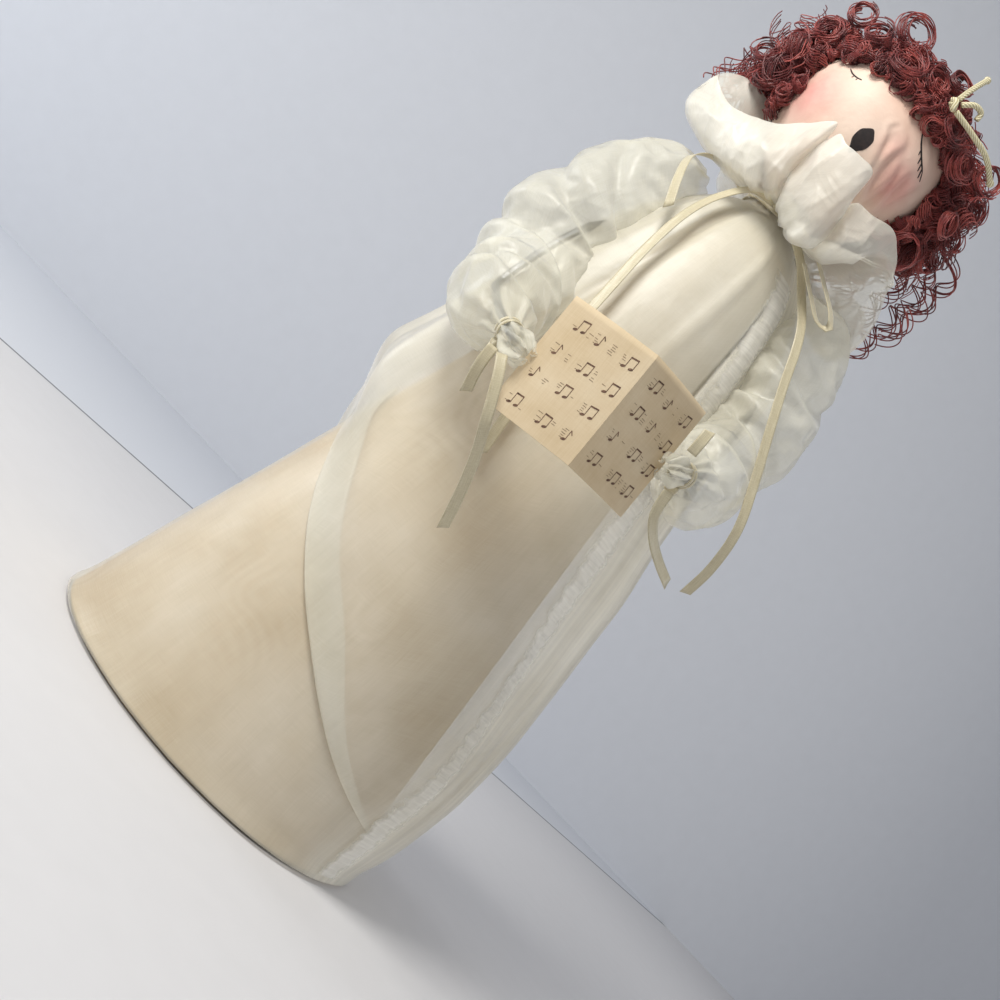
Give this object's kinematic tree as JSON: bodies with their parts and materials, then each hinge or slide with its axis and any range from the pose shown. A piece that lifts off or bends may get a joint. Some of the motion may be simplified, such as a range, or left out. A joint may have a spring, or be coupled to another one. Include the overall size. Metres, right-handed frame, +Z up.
{
  "type": "papier-mache tree topper",
  "caption": "Standing carol singer doll on a hollow papier-mache cone, in a gathered organza robe, holding a folded songbook, made to sit on a tree's tip.",
  "frame": {"origin": "on the surface that the base rim rests on, under the middle of the part's box measured without the loose ribbons", "axes": "+Z up through the head, -Y towards the face and the songbook, +X towards the viewer's right"},
  "size_m": [0.1248, 0.1438, 0.304],
  "materials": {
    "mache": "bare papier-mache, rough",
    "wood": "plain dowel",
    "lining": "plain woven cloth, matt",
    "organza": "sheer crisp organza with a soft sheen",
    "ribbon": "narrow satin ribbon",
    "wire": "soft craft wire",
    "skin": "painted papier-mache with fine wrinkles, satin",
    "paper_core": "crushed paper",
    "hair": "curly doll hair, auburn, glossy",
    "card": "linen-textured printed card",
    "bow_cord": "soft cream cord"
  },
  "bodies": {
    "root": {"cone_body": "mache", "cone_plug": "mache", "neck_dowel": "wood", "neck_stub": "mache", "lining": "lining", "robe": "organza", "collar": "organza", "arm_wire": "wire", "sleeve_left": "organza", "sleeve_right": "organza", "wrist_tie_left": "ribbon", "wrist_tie_right": "ribbon", "songbook": "card", "neck_band": "ribbon", "neck_knot": "ribbon", "head_core": "paper_core", "head_shell": "skin", "hair_crown": "hair", "hair_right": "hair", "hair_back": "hair", "hair_left": "hair", "ringlet_1": "hair", "ringlet_2": "hair", "ringlet_3": "hair", "ringlet_4": "hair", "ringlet_5": "hair", "ringlet_6": "hair", "ringlet_7": "hair", "ringlet_8": "hair", "ringlet_9": "hair", "ringlet_10": "hair", "ringlet_11": "hair", "ringlet_12": "hair", "hair_bow_knot": "bow_cord", "hair_bow_tail_up": "bow_cord", "hair_bow_tail_side": "bow_cord", "hair_bow_loop": "bow_cord", "neck_tail_left": "ribbon", "neck_tail_right": "ribbon", "neck_loop": "ribbon", "neck_short_tail": "ribbon", "wrist_tail_left": "ribbon", "wrist_tail_left_short": "ribbon", "wrist_tail_right": "ribbon", "wrist_tail_right_short": "ribbon"}
  },
  "joints": []
}
